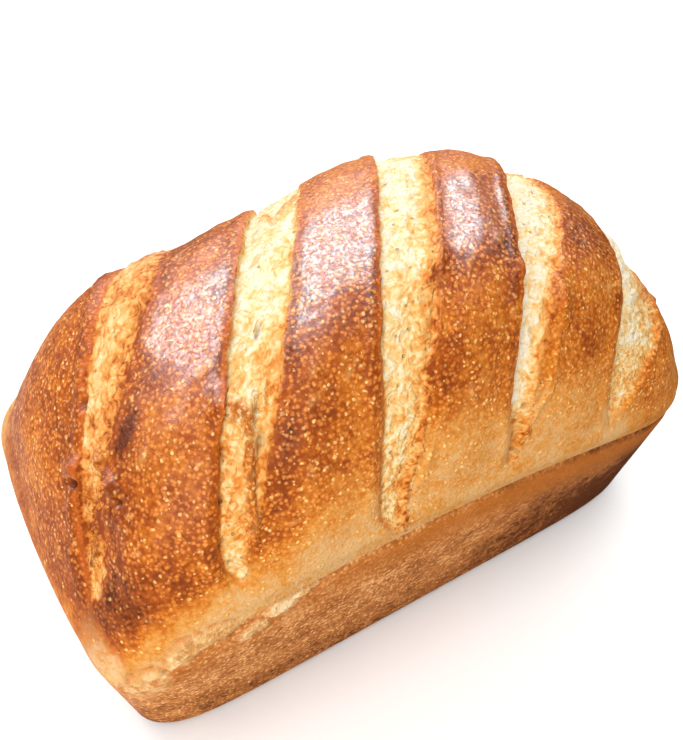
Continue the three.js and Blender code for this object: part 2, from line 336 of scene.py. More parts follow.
# torn ridges: width, lift, how much crust, how brown, and points across and down
strands = [
    (1.6, 2.2, 0.85, 0.48, [(-43, -24.5), (-38.5, -26.5), (-34.5, -29), (-31.8, -31.6)]),
    (1.2, 1.2, 0, 0, [(-42, -21.8), (-38, -23.4), (-34, -25.6), (-28, -29)]),
    (1.5, 1.5, 0.8, 0.6, [(-32.4, -31), (-31, -38), (-29.3, -46), (-28.7, -53), (-28.9, -58)]),
    (1.0, 0.8, 0.35, 0.66, [(23.4, 26), (23.6, 4), (24.4, -20), (24.6, -36)]),
    (1.5, 0.8, 0, 0.56, [(18.6, 20), (19.8, 4), (20.6, -16), (20.4, -34), (21.4, -44)]),
    (0.8, 0.7, 0, 0.5, [(17, -22), (18.4, -26), (18.2, -31)]),
    (0.8, 0.9, 0, 0.3, [(25.6, -52), (24, -60), (21.6, -67)]),
    (1.5, 1.1, 1, 0.5, [(-88, 46), (-88.6, 24), (-88.8, 12), (-87.9, 8)]),
    (1.5, 1.0, 0.9, 0.7, [(-91, -12.5), (-88.6, -15)]),
    (1.2, 1.4, 0.8, 0.66, [(-80.6, -10), (-79.2, -14), (-77, -18)]),
    (1.4, 1.6, 0.9, 0.66, [(-76.6, -17.6), (-75, -21), (-73.2, -25.4)]),
    (1.2, 1.2, 0.8, 0.8, [(-80.6, -42), (-81.6, -47), (-83.6, -51)]),
    (1.1, 1.2, 0.9, 0.9, [(51.4, -26), (53, -29), (52.4, -33)]),
    (1.6, 1.5, 0.9, 0.9, [(64.4, -31), (67.4, -36), (68.6, -41)]),
    (1.1, 1.1, 0.9, 0.85, [(66.6, -43), (66.4, -48), (66.6, -53)]),
    (1.0, 1.1, 0.3, 0.66, [(65, -55), (63.6, -59), (61.8, -63)]),
    (1.3, 1.0, 0.9, 0.8, [(115.6, -44), (116, -56), (112, -70), (106.4, -81), (100, -87)]),
    (1.1, 1.3, 0.5, 0.6, [(-36.5, 26), (-33, 21), (-29, 22.5), (-25.6, 27)]),
    (1.2, 1.0, 0.2, 0.6, [(55, 30), (58, 24), (62, 22)]),
    (1.2, 1.0, 0.3, 0.6, [(98, 12), (101, 4), (103.6, -8)]),
    (1.3, 1.2, 0.6, 0.7, [(-72, 44), (-75, 38), (-79, 35)]),
]

# holes: across, down, reach, depth, and how much painted shade darkens them
pits = [
    (-31.4, -14, 1.6, 1.4, 0.8), (-38.6, -41, 1.3, 1.2, 0.5), (-35.4, -63.5, 1.4, 1.3, 0.45),
    (-27.6, -36.5, 2.0, 1.6, 0.4), (-38, -55, 2.4, 1.3, 0.2), (-38.4, -33.5, 2.2, 1.2, 0.1),
    (-83.5, -25, 3, 1.5, 0), (-84.6, -42, 3, 1.6, 0.1), (-87.4, 4.6, 1.5, 1.4, 1),
    (-90.6, -19.5, 2.5, 2.2, 1.4), (-71.2, -28.4, 1.8, 1.2, 1.1), (18.8, -27, 1.2, 1.2, 0.4),
    (59.2, -55.6, 1.1, 1.3, 0.7), (58, -69.5, 1.1, 1.3, 0.7), (58.4, -75.4, 1.2, 1.3, 0.6),
    (57.6, -62, 0.8, 1.0, 0.4), (12, -20, 1.1, 0.9, 0.4), (15, -8, 1.2, 0.9, 0.3),
    (53.5, -4, 1.1, 1.0, 0.4), (-68.3, -104, 1.4, 1.8, 1.2),
    (11, 34, 1.2, 1.2, 0.6), (60, 40, 1.3, 1.3, 0.6), (-30, 44, 1.3, 1.3, 0.6), (96, 20, 1.2, 1.2, 0.6),
]

# patches where the crust baked darker or stayed pale, and one paler patch that is a painted sheen: across,
# down, reach, how much
patches = [
    (-69, -67, 14, 0.36), (-70.6, -13, 3.4, 0.75), (-70, -33, 8, 0.12), (-22, -40, 6, 0.16),
    (-68, -22, 8, 0.1), (-90, -50, 10, 0.06), (-20, -62, 9, 0.06), (40, -46, 12, 0.06),
    (28, -42, 5, 0.2), (47, -22, 5, 0.14), (79, -45, 8, 0.2), (-47, -66, 9, 0.08),
    (-17, -88, 9, 0.08), (-8, -34, 7, 0.1), (-43, -16, 3.6, 0.25), (-22.4, -26, 4, 0.26),
    # (42, 0, 6, -0.14) is paler crust standing in for the glare there: a painted highlight
    (2, -33, 4, 0.2), (49, -31, 3.4, 0.34), (42, 0, 6, -0.14), (-60, 34, 14, 0.1),
    (34, 60, 16, 0.14), (86, 44, 14, 0.1),
]

# how high over the seam the crust turns from pale to brown, along the loaf
paleEdge = {"x": (-110, -95, -79, -53, -35, -2, 15, 46, 79, 104),
            "low": (0, 8, 10, 5, 13, 20, 18, 20, -10, -14),
            "high": (14, 26, 25, 38, 48, 58, 54, 64, 24, 14)}

bubbles = {"number": 130, "smallest": 0.9, "largest": 1.6, "lift": 0.32, "seed": 5,
           "across": (-112, 116), "down": (-82, 82),
           "placed": [(44.1, -17.8, 1.9), (-47.3, -14.9, 1.6), (-63.8, -21.5, 1.7), (-2, -12, 1.5)]}

# crumb torn open along the seam, strongest near the left corner; pairs are from and to
seamTear = {
    "shreds": [  # x, height over the seam, half length and height
        (-50, -1.2, 5, 1.6), (-57.5, -2.4, 5, 3.6), (-66, -6.4, 5, 4), (-76, 3.6, 6, 5.6), (-86, 4, 7, 6),
        (-98, -1.5, 7, 9.5), (-105, 9, 4, 9),
    ],
    "front": (28, 42), "edge": (-0.15, 0.6), "crackWidth": 0.14, "crackFilled": 0.7,
    "cornerShare": 0.55, "cornerAlong": (-99, -88),
    "foldHeight": 0.8, "foldReach": 0.9, "foldLeft": (-54, -44), "foldRight": (6, 16), "foldShare": 0.7,
    "endDrop": 1.6, "endReach": 2.4, "endAlong": (92, 104), "endShare": 0.5,
}


def alongPath(across, down, path):  # how far a place lies from a line of points
    nearest = np.full(len(across), 1e9)
    for start, end in zip(path[:-1], path[1:]):
        wayX, wayY = end[0] - start[0], end[1] - start[1]
        share = ((across - start[0]) * wayX + (down - start[1]) * wayY) / (wayX ** 2 + wayY ** 2)
        share = np.clip(share, 0, 1)
        away = np.hypot(across - start[0] - share * wayX, down - start[1] - share * wayY)
        nearest = np.minimum(nearest, away)
    return nearest


# how the cuts open: pairs are from and to, mostly along the way down a side
opening = {
    "wallWidens": (25, 45), "deepens": (5, 40),
    "browns": (0, 44), "paleFade": 14, "paleShare": 0.66, "farStart": 0.45, "farDown": (-68, -38),
    "backBrowns": (25, 55), "backToast": 0.2,
    "lowLean": 0.2, "leanFades": (28, 45), "curl": 0.2, "leanReach": 2.2, "leanLimit": 12,
    "tuckBack": 0.25, "tuckReach": 1.5,
}


def openCuts(across, down, high, wobble):  # the depth of the cuts, and the lean of their edges
    depth, shift, place, toast = 0 * across, 0 * across, 0 * across, 0 * across
    inCut, nearest = np.full(len(across), -99.0), np.full(len(across), np.inf)
    wall = mix(form["edgeWall"], form["lowWall"], smooth(-down, *opening["wallWidens"]))
    leaning = (form["lean"] + wobble) * mix(1, opening["lowLean"], smooth(-down, *opening["leanFades"]))
    fadeOver, tuck = opening["paleFade"], opening["tuckBack"]
    for cut in cuts:
        left, right = cutEdges(cut, down, 0.1)
        ends = np.minimum(down - cut["front"], cut["back"] - down)
        isOpen = smooth(ends, 0, cut["slope"])
        outside = np.maximum(left - across, across - right)
        nearest = np.minimum(nearest, np.maximum(0, outside))
        inside = smooth(-outside, 0, wall)
        way = np.clip((across - left) / (right - left), 0, 1)
        deep = mix(cut["high"], cut["step"], smooth(-down, *opening["deepens"]))
        floor = deep * (1 - cut["rise"] * way ** 2) - form["crumbSwell"] * np.sin(np.pi * way)
        depth += floor * inside * isOpen
        lip = bell(across - left + form["lipWidth"] / 2, form["lipWidth"] / 2)
        depth -= form["lipHeight"] * lip * isOpen * high
        here = np.minimum(across - left - (wall - form["edgeWall"]), (right - across) / cut["soft"])
        here = np.minimum(here, ends)
        mine = here > inCut
        inCut = np.where(mine, here, inCut)
        place = np.where(mine, way, place)
        baked = cut["toast"] + cut["low"] * smooth(-down, *opening["browns"])
        baked *= mix(opening["paleShare"], 1, smooth(down + cut["pale"] + fadeOver, 0, fadeOver))
        baked += cut["far"] * smooth(way, opening["farStart"], 1) * smooth(down, *opening["farDown"])
        baked += opening["backToast"] * smooth(down, *opening["backBrowns"])
        toast = np.where(mine, baked, toast)
        # the crust leans over the crumb on the left of a cut and curls back on its right
        into = across - left
        back = tuck * np.exp(-(into - wall) / opening["tuckReach"])
        overLeft = np.where(into < wall, 1 - (1 + tuck) * into / wall, -back)
        overLeft = np.where(into < 0, np.exp(into / opening["leanReach"]), overLeft)
        shift += overLeft * isOpen * leaning * (outside < opening["leanLimit"])
        short = right - across
        overRight = np.where(short < wall, 1 - short / wall, 0)
        overRight = np.where(short < 0, np.exp(short / opening["leanReach"]), overRight)
        shift -= overRight * isOpen * (opening["curl"] - wobble) * (outside < opening["leanLimit"])
    swell = 1 - np.exp(-nearest / form["bandSag"])
    depth -= form["bandSwell"] * swell * high
    return depth, shift, inCut, place, toast


# torn crumb: sizes are across and down, pairs are high on the loaf and low
tearing = {
    "bendSize": (8, 8, 1), "swirlSize": (4.4, 4.8, 1), "ribSize": (6, 2.2, 1), "foldSize": (7, 10, 1),
    "swirlBend": 6, "ribBend": 3, "swirl": (1.2, 0.6), "rib": (0.2, 0.9), "fold": 0.6, "level": 0.35,
    "turnsRibbed": (28, 44), "creaseWidth": 0.2,
    "holeSpace": (4.2, 3.6), "smallestHole": 0.04, "holeSpread": 0.3, "holeDepth": 0.8,
}


def tearCrumb(flat, inCut):  # swirled folds, ribs across the lower crumb, and holes between them
    slow = flat / tearing["bendSize"]
    bent = np.stack([ripple(slow, 1, 11), ripple(slow, 1, 12), 0 * inCut], 1)
    swirls = ripple((flat + tearing["swirlBend"] * bent) / tearing["swirlSize"], 1, 3)
    ribs = ripple((flat + tearing["ribBend"] * bent) / tearing["ribSize"], 1, 13)
    folds = ripple(flat / tearing["foldSize"], 1, 4)
    ribbed = smooth(-flat[:, 1], *tearing["turnsRibbed"])
    rough = mix(*tearing["swirl"], ribbed) * np.abs(swirls) + mix(*tearing["rib"], ribbed) * np.abs(ribs)
    rough = rough - tearing["level"] - tearing["fold"] * folds
    holes = np.zeros(len(inCut))
    spaceAcross, spaceDown = tearing["holeSpace"]
    for index in np.flatnonzero(inCut > 0.5):
        spot = Vector((flat[index][0] / spaceAcross, flat[index][1] / spaceDown, 0))
        away, centres = noise.voronoi(spot)
        size = tearing["smallestHole"] + tearing["holeSpread"] * abs(noise.cell(centres[0] * 7))
        holes[index] = max(0, 1 - (away[0] / size) ** 2)
    creases = smooth(np.abs(swirls), 0, tearing["creaseWidth"])
    return tearing["holeDepth"] * np.sqrt(holes) - rough, holes, creases


def raiseBubbles(across, down):  # blisters wide enough to feel, scattered and a few in their place
    draw = random.Random(bubbles["seed"])
    spots = list(bubbles["placed"])
    for number in range(bubbles["number"]):
        size = mix(bubbles["smallest"], bubbles["largest"], draw.random() ** 2)
        spots.append((draw.uniform(*bubbles["across"]), draw.uniform(*bubbles["down"]), size))
    raised = 0 * across
    for bubbleAcross, bubbleDown, size in spots:
        away = np.hypot(across - bubbleAcross, down - bubbleDown) / size
        raised = np.maximum(raised, np.sqrt(np.clip(1 - away ** 2, 0, 1)))
    return raised


def tearSeam(x, y, over, spots):  # the torn strip under the crown's edge, and the crack over it
    look = seamTear
    ragged = 0.35 * ripple(spots * (1, 1, 0.6), 6, 7) + 0.25 * ripple(spots, 2.6, 14)
    front = smooth(-y, *look["front"])
    strip, crack = 0 * x, 0 * x
    for middle, height, half, tall in look["shreds"]:
        inside = 1 - ((x - middle) / half) ** 2 - ((over - height) / tall) ** 2 + ragged
        strip = np.maximum(strip, front * smooth(inside, *look["edge"]))
        upper = smooth(over - height, 0, tall / 2)
        crack = np.maximum(crack, front * bell(inside, look["crackWidth"]) * upper)
    strip *= mix(look["cornerShare"], 1, smooth(x, *look["cornerAlong"]))
    fold = bell(over - look["foldHeight"] - ragged, look["foldReach"])
    fold *= smooth(x, *look["foldLeft"]) * smooth(-x, *look["foldRight"])
    strip = np.maximum(strip, look["foldShare"] * front * fold)
    away = np.abs(over + look["endDrop"] + ragged) / look["endReach"]
    end = look["endShare"] * smooth(-x, *look["endAlong"]) * (1 - front) * smooth(1 - away, 0, 0.5)
    strip = np.maximum(strip, end)
    return strip, crack * (1 - look["crackFilled"] * strip)


# how brown the crust is from 0 to 1, darkened as painted shade under the crown's glare, and how thick the
# blisters lie; pairs are from and to
browningAndPaintedLight = {
    "pale": 0.03, "brown": 0.46, "clouds": (0.06, 24, 8), "besideCuts": 0.1, "besideReach": 3,
    "paleRight": 0.05, "paleAlong": (-25, 5), "brownLeft": 0.07, "lessRight": 0.17, "lessAlong": (-65, -5),
    "glossy": 0.1, "glareShadeRight": 0.24, "glareShadeAlong": (-52, -24), "glareShadeHeight": (116, 130),
    "glareShadeFront": (-32, -22), "frontAlong": (36, 60), "frontFade": 12, "glareShadeBack": 16, "backFade": 10,
    "behind": 0.06, "behindFrom": (8, 18), "behindHeight": (100, 120),
    "blisters": (0.3, 0.7), "blisterHeight": (4, 24), "blisterClouds": (0.15, 14, 9),
    "fewer": [(-1, 40, 70, 0.15), (-1, 102, 112, 0.2), (1, 85, 105, 0.35)],  # side, from, to, how many
    "offPatches": 1.5, "fewest": 0.05, "most": 0.95,
}


def crustBrowningAndPaintedLight(x, y, z, across, down, over, inCut, flat):
    look = browningAndPaintedLight
    low, high = [np.interp(x, paleEdge["x"], paleEdge[side]) for side in ("low", "high")]
    rise = smooth(over, low, high)
    bakeAndPaintedLight = look["pale"] + look["brown"] * rise + ripples(flat, [look["clouds"]])
    bakeAndPaintedLight += look["paleRight"] * smooth(x, *look["paleAlong"]) * (1 - rise)
    bakeAndPaintedLight += (look["brownLeft"] - look["lessRight"] * smooth(x, *look["lessAlong"])) * rise
    # painted shade: the crust is made darker where the window's glare lies on the crown
    front = mix(*look["glareShadeFront"], smooth(-x, *look["frontAlong"]))
    glossy = smooth(y - front, 0, look["frontFade"]) * smooth(look["glareShadeBack"] - y, 0, look["backFade"])
    glossy *= smooth(z, *look["glareShadeHeight"])
    behind = look["behind"] * smooth(y, *look["behindFrom"]) * smooth(z, *look["behindHeight"])
    bakeAndPaintedLight += glossy * (look["glossy"] + look["glareShadeRight"] * smooth(x, *look["glareShadeAlong"])) + behind
    fewest, more = look["blisters"]
    speckle = fewest + more * smooth(over, *look["blisterHeight"]) + ripples(flat, [look["blisterClouds"]])
    speckle -= sum(much * smooth(side * x, start, end) for side, start, end, much in look["fewer"])
    for patchAcross, patchDown, reach, much in patches:
        here = much * bell(np.hypot(across - patchAcross, down - patchDown), reach)
        bakeAndPaintedLight += here
        speckle -= look["offPatches"] * here
    bakeAndPaintedLight += look["besideCuts"] * bell(inCut + look["besideReach"], look["besideReach"]) * rise
    return bakeAndPaintedLight, np.clip(speckle, look["fewest"], look["most"])


# relief of the whole crust: layers of ripples are how much, size and seed
crustRelief = {
    "wobble": [(0.5, 9, 1), (0.6, 3.2, 2)], "lumps": [(0.6, 15, 5), (0.3, 5, 6), (0.12, 2.4, 15)],
    "crownFrom": 6, "crownTo": 96, "swellHeight": 8, "swellReach": 6, "crumbEdge": (0.8, 2.6),
    "faintDown": (46, 68), "faintAlong": (-30, -10), "faintRelief": 0.5,
    "bubbleInset": (0.6, 2), "bubbleHeight": (8, 20), "skinBake": 0.05,
    "grain": [(1, 1.9, 17)], "strandStray": (0.9, 0.5), "strandUneven": 0.3, "strandGrain": 0.6,
    "pitWall": 0.7, "crackDepth": 0.7, "tornLift": 0.4, "seamLift": 0.7, "tornGrain": [(0.4, 3, 16)],
}


def carve(spots):  # the depth under the uncut form, the shift across the cuts, and the masks
    x, y, z = spots.T
    across = x - cutTurn * y
    down = girth(y, z)
    seam = seamHeight(x, y)
    look = crustRelief
    high = smooth(z, seam + look["crownFrom"], look["crownTo"])
    over = z - seam
    flat = np.stack([across, down, 0 * x], 1)
    wobble = ripples(flat, look["wobble"])
    depth, shift, inCut, place, toast = openCuts(across, down, high, wobble)
    crumb = smooth(inCut, *look["crumbEdge"])
    for riseX, riseY, reach, lift in unevenness:
        depth -= lift * bell(np.hypot(x - riseX, y - riseY), reach) * high
    for cragAcross, cragDown, reach, lift in crags:
        depth -= lift * bell(np.hypot(across - cragAcross, down - cragDown), reach / math.sqrt(2))
    depth += form["seamGroove"] * bell(over, form["seamWidth"])
    depth -= form["overhangSwell"] * bell(over - look["swellHeight"], look["swellReach"])

    torn, holes, swirl = tearCrumb(flat, inCut)
    faint = smooth(-down, *look["faintDown"]) * smooth(x, *look["faintAlong"])
    depth += torn * crumb * (1 - look["faintRelief"] * faint)
    depth -= ripples(spots, look["lumps"]) * high * (1 - crumb)
    raised = raiseBubbles(across, down) * smooth(-inCut, *look["bubbleInset"])
    raised = raised * smooth(over, *look["bubbleHeight"])
    depth -= bubbles["lift"] * raised

    brown, skin, pitShade = 0 * x, 0 * x, 0 * x
    grain = ripples(flat, look["grain"])
    strayAcross, strayDown = look["strandStray"]
    for wide, lift, crusted, toasted, path in strands:
        away = alongPath(across + strayAcross * wobble, down + strayDown * wobble, path)
        width = wide * (1 + look["strandUneven"] * wobble)
        depth -= lift * bell(away, width) * (1 + look["strandGrain"] * grain)
        brown = np.maximum(brown, toasted * bell(away, width * 1.2))
        skin = np.maximum(skin, crusted * smooth(away, width * 1.3, width * 0.7))
    for pitAcross, pitDown, reach, deep, dark in pits:
        well = smooth(reach - np.hypot(across - pitAcross, down - pitDown), 0, reach * look["pitWall"])
        depth += deep * well
        pitShade = np.maximum(pitShade, dark * well)

    strip, crack = tearSeam(x, y, over, spots)
    lift = look["tornLift"] + look["seamLift"] * bell(over, 3) + ripples(spots, look["tornGrain"])
    depth += look["crackDepth"] * crack - strip * lift
    bakeAndPaintedLight, speckle = crustBrowningAndPaintedLight(x, y, z, across, down, over, inCut, flat)
    bakeAndPaintedLight += look["skinBake"] * skin * (inCut > -1)
    masks = {"crumb": inCut, "place": place, "toast": toast, "brown": brown, "skin": skin, "pitShade": pitShade,
             "holes": holes, "swirl": swirl, "bubble": raised, "over": over, "bakeAndPaintedLight": bakeAndPaintedLight, "speckle": speckle,
             "torn": strip, "crack": crack, "faint": faint}
    return depth, shift * high, masks, flat


def shapeLoaf():
    lines = makeLines()
    columns = len(lines) + 1
    rows = len(grid["wallRows"]) + len(grid["seamRows"]) + grid["fanRows"] - 1
    loaf = boxGrid(columns, rows)
    loaf.name = loaf.data.name = "loafCrust"
    count = len(loaf.data.vertices)
    cube = np.zeros(count * 3)
    loaf.data.vertices.foreach_get("co", cube)
    along, across, up = cube.reshape(-1, 3).T.round(5)
    number = np.round((along + 1) / 2 * columns).astype(int)
    row = np.round((up + 1) / 2 * rows).astype(int)
    spots = castLoaf(along, across, row, number, columns, lines)
    print("loaf drawn on its form:", count, "points")

    depth, shift, masks, way = carve(spots)
    heart = np.stack([np.clip(spots[:, 0], -grid["heartHalf"], grid["heartHalf"]),
                      0 * along, np.minimum(spots[:, 2], grid["coreHeight"])], 1)
    inward = heart - spots
    inward /= np.linalg.norm(inward, axis=1)[:, None]
    sideways = np.array([1, -cutTurn, 0]) - inward * (inward @ np.array([1, -cutTurn, 0]))[:, None]
    sideways /= np.linalg.norm(sideways, axis=1)[:, None]
    firm = smooth(spots[:, 2], grid["firmFrom"], grid["firmTo"])
    spots = spots + inward * (depth * firm)[:, None] + sideways * shift[:, None]
    spots[:, 0] -= form["centreShift"]
    loaf.data.vertices.foreach_set("co", (spots * mm).ravel())
    for name, mask in masks.items():
        loaf.data.attributes.new(name, "FLOAT", "POINT").data.foreach_set("value", mask)
    loaf.data.attributes.new("way", "FLOAT_VECTOR", "POINT").data.foreach_set("vector", way.ravel())
    loaf.data.update()
    closeBase()
    bpy.ops.object.shade_smooth()
    return loaf


def closeBase():  # the foot's open edge, drawn in to a flat base
    bpy.ops.object.mode_set(mode="EDIT")
    bpy.ops.mesh.select_mode(type="EDGE")
    bpy.ops.mesh.select_all(action="DESELECT")
    bpy.ops.mesh.select_non_manifold()
    bpy.ops.mesh.extrude_region_move()
    bpy.ops.transform.resize(value=(0.9, 0.85, 1))
    bpy.ops.mesh.extrude_region_move()
    bpy.ops.mesh.merge(type="CENTER")
    bpy.ops.mesh.select_all(action="SELECT")
    bpy.ops.mesh.normals_make_consistent(inside=False)
    bpy.ops.object.mode_set(mode="OBJECT")


loaf = shapeLoaf()
print("loaf shaped:", len(loaf.data.polygons), "faces")


def paint(red, green, blue):  # a screen colour from 0 to 255, as the shader wants it
    parts = [part / 255 for part in (red, green, blue)]
    return [((part + 0.055) / 1.055) ** 2.4 if part > 0.04 else part / 12.92 for part in parts] + [1]


def put(tree, kind, inputs=(), **settings):  # a node, its settings and what goes into it
    node = tree.nodes.new("ShaderNode" + kind)
    for key, value in settings.items():
        setattr(node, key, value)
    for socket, value in dict(inputs).items():
        if isinstance(value, bpy.types.NodeSocket):
            tree.links.new(value, node.inputs[socket])
        elif value is not None:
            node.inputs[socket].default_value = value
    return node


def calc(tree, operation, one, other=None, third=None, clamp=False):
    inputs = {0: one, 1: other, 2: third}
    return put(tree, "Math", inputs, operation=operation, use_clamp=clamp).outputs[0]


def times(tree, first, *others):  # all of them multiplied
    for other in others:
        first = calc(tree, "MULTIPLY", first, other)
    return first


def rest(tree, share):  # what a share leaves of 1
    return calc(tree, "SUBTRACT", 1, share)


def layer(tree, level, *layers):  # a level with patterns added on, each by its share
    for pattern, share in layers:
        level = calc(tree, "MULTIPLY_ADD", pattern, share, level)
    return level


def fade(tree, value, low, high, start=0.0, end=1.0):  # a smooth step between two levels
    inputs = {"Value": value, "From Min": low, "From Max": high, "To Min": start, "To Max": end}
    return put(tree, "MapRange", inputs, interpolation_type="SMOOTHSTEP").outputs[0]


def scaled(tree, vector, scale):
    return put(tree, "VectorMath", {0: vector, "Scale": scale}, operation="SCALE").outputs[0]


def moved(tree, vector, other):
    return put(tree, "VectorMath", {0: vector, 1: other}, operation="ADD").outputs[0]


def ramp(tree, value, stops):
    node = put(tree, "ValToRGB", {"Fac": value})
    band = node.color_ramp
    while len(band.elements) < len(stops):
        band.elements.new(0.5)
    for element, (place, colour) in zip(band.elements, stops):
        element.position = place
        element.color = paint(*colour)
    return node.outputs["Color"]


def blend(tree, share, one, other):  # the other is a socket or a screen colour
    if isinstance(other, tuple):
        other = paint(*other)
    return put(tree, "Mix", {0: share, 6: one, 7: other}, data_type="RGBA").outputs[2]


def newGroup(name, takes, gives):
    group = bpy.data.node_groups.new(name, "ShaderNodeTree")
    for socketName, kind, value in takes:
        socket = group.interface.new_socket(socketName, in_out="INPUT", socket_type="NodeSocket" + kind)
        if value is not None:
            socket.default_value = value
    for socketName in gives:
        group.interface.new_socket(socketName, in_out="OUTPUT", socket_type="NodeSocketFloat")
    return group, group.nodes.new("NodeGroupInput").outputs, group.nodes.new("NodeGroupOutput").inputs


def use(tree, group, inputs):
    return put(tree, "Group", inputs, node_tree=group).outputs


def scatter(group, takes):  # cells a spacing apart: how far a cell's middle is, and its three chances
    spot = scaled(group, takes["Spot"], calc(group, "DIVIDE", 1, takes["Spacing"]))
    cells = put(group, "TexVoronoi", {"Vector": spot, "Scale": 1.0})
    return cells.outputs["Distance"], put(group, "SeparateColor", {0: cells.outputs["Color"]}).outputs


def makeBlisters():  # small round bubbles of crust: a dot for colour and a dome for height
    group, takes, gives = newGroup("blisters", [
        ("Spot", "Vector", None), ("Spacing", "Float", 2.0), ("Share", "Float", 0.5),
        ("Size", "Float", 0.4)], ["Dot", "Dome"])
    distance, chances = scatter(group, takes)
    isThere = calc(group, "LESS_THAN", chances[0], takes["Share"])
    size = times(group, takes["Size"], fade(group, chances[1], 0, 1, 0.55, 1.15))
    away = calc(group, "DIVIDE", distance, size)
    dome = calc(group, "SQRT", calc(group, "SUBTRACT", 1, times(group, away, away), clamp=True))
    tone = times(group, isThere, fade(group, chances[2], 0, 1, 0.55, 1.0))
    group.links.new(times(group, dome, isThere), gives["Dome"])
    group.links.new(times(group, fade(group, away, 1.05, 0.35), tone), gives["Dot"])
    return group


def makePebbles():  # fine blisters side by side: 1 on top of each, 0 between them
    group, takes, gives = newGroup(
        "pebbles", [("Spot", "Vector", None), ("Spacing", "Float", 1.5)], ["Top", "Tone"])
    distance, chances = scatter(group, takes)
    top = fade(group, distance, 0.6, 0.16)
    group.links.new(top, gives["Top"])
    group.links.new(times(group, top, fade(group, chances[0], 0, 1, 0.3, 1.0)), gives["Tone"])
    return group


def makeMottle():  # uneven baking at one size, from 0 to 1
    group, takes, gives = newGroup(
        "mottle", [("Spot", "Vector", None), ("Size", "Float", 5.0), ("Detail", "Float", 3.0)], ["Level"])
    cloud = put(group, "TexNoise", {"Vector": takes["Spot"], "Scale": calc(group, "DIVIDE", 1, takes["Size"]),
                                    "Detail": takes["Detail"], "Roughness": 0.55})
    group.links.new(fade(group, cloud.outputs["Fac"], 0.28, 0.72), gives["Level"])
    return group


def makeWrinkles():  # skin that dried and creased as it browned: 0 in a crease, 1 between
    group, takes, gives = newGroup("wrinkles", [("Spot", "Vector", None), ("Size", "Float", 3.0)], ["Level"])
    bent = put(group, "TexNoise", {"Vector": takes["Spot"], "Scale": calc(group, "DIVIDE", 1, takes["Size"]),
                                   "Detail": 3.0, "Roughness": 0.6, "Distortion": 1.1})
    line = calc(group, "ABSOLUTE", calc(group, "SUBTRACT", bent.outputs["Fac"], 0.5))
    group.links.new(fade(group, line, 0.0, 0.09), gives["Level"])
    return group


swirlFinish = {
    "bendScale": 0.16, "curl": 6.0, "spongeScale": 0.8, "poreScale": 0.5, "poreChance": 0.14,
    "folds": [((0.24, 0.19, 1), 0.2, 0.7), ((0.56, 0.46, 1), 0.24, 0.3)],  # scale, crease width, share
    "spongeHeight": 0.55, "foldHeight": 0.5,
}


def makeSwirls():  # torn crumb: curled folds with creases between them, and small round pores
    look = swirlFinish
    group, takes, gives = newGroup(
        "crumb swirls", [("Way", "Vector", None), ("Spot", "Vector", None)], ["Height", "Fold", "Pore"])
    bend = put(group, "TexNoise", {"Vector": takes["Spot"], "Scale": look["bendScale"], "Detail": 1.0})
    turned = moved(group, takes["Way"], scaled(group, bend.outputs["Color"], look["curl"]))
    folds = []
    for stretch, width, share in look["folds"]:
        stretched = put(group, "Mapping", {"Vector": turned, "Scale": stretch})
        cloud = put(group, "TexNoise", {"Vector": stretched.outputs[0], "Scale": 1.0, "Detail": 1.0})
        line = calc(group, "ABSOLUTE", calc(group, "SUBTRACT", cloud.outputs["Fac"], 0.5))
        folds.append((fade(group, line, 0.0, width), share))
    fold = layer(group, times(group, *folds[0]), folds[1])
    sponge = put(group, "TexVoronoi", {"Vector": takes["Spot"], "Scale": look["spongeScale"]})
    cells = put(group, "TexVoronoi", {"Vector": takes["Spot"], "Scale": look["poreScale"]})
    chances = put(group, "SeparateColor", {0: cells.outputs["Color"]}).outputs
    pore = times(group, fade(group, cells.outputs["Distance"], 0.3, 0.1),
                 calc(group, "LESS_THAN", chances[0], look["poreChance"]))
    height = layer(group, times(group, fold, look["foldHeight"]),
                   (sponge.outputs["Distance"], look["spongeHeight"]))
    group.links.new(fold, gives["Fold"])
    group.links.new(pore, gives["Pore"])
    group.links.new(calc(group, "SUBTRACT", height, pore), gives["Height"])
    return group


blisters, pebbles, mottle = makeBlisters(), makePebbles(), makeMottle()
wrinkles, swirls = makeWrinkles(), makeSwirls()

crustFinish = {
    "baked": [(0, (204, 160, 104)), (0.2, (202, 138, 60)), (0.42, (188, 105, 22)), (0.66, (148, 66, 8)),
              (1, (80, 30, 6))],
    "pebble": (230, 142, 58), "blister": (250, 198, 118), "lip": (184, 90, 28), "crease": (150, 70, 26),
    "crumb": [(0, (222, 212, 190)), (0.25, (220, 193, 138)), (0.5, (214, 160, 88)), (0.75, (200, 120, 46)),
              (1, (136, 60, 16))],
    # pore and dark are painted shade, in the crumb's pores and holes and in the pits
    "pore": (188, 132, 62), "dark": (96, 42, 14),
    "torn": [(0, (190, 132, 72)), (0.5, (218, 172, 112)), (1, (232, 204, 158))],
    "tin": [(0, (100, 50, 18)), (0.5, (182, 110, 50)), (1, (234, 176, 112))], "gold": (176, 98, 20),
    "clouds": [(22.0, 2.0), (6.0, 3.0), (1.6, 4.0)],  # wide, middling and fine: size and detail
    "bakedClouds": (0.16, 0.18, 0.24), "pebbleGapShadeShare": 0.16, "gapLevel": 0.3, "stirScale": 0.8,
    "grainSpacing": 1.3, "creaseSize": 3.2, "creaseShare": 0.35, "gritSize": 0.9,
    "blisters": [(1.6, 0.38, 0.62), (3.0, 0.27, 0.24)],  # small and broad: spacing, size, share
    "roughness": {"crust": 0.4, "shoulder": 0.5, "crumb": 0.8, "tin": 0.6, "uneven": 0.12},
    "bend": 1.25, "coat": 1.0, "coatRoughness": 0.27, "coatBend": 1.95,
    # heights in millimetres
    "grainHeight": 0.12, "smallHeight": 0.16, "broadHeight": 0.24, "fineHeight": 0.14, "creaseHeight": 0.1,
    "crumbHeight": 0.6, "crumbFine": 0.24, "tinGrain": 0.07, "tornHeight": 0.3,
}


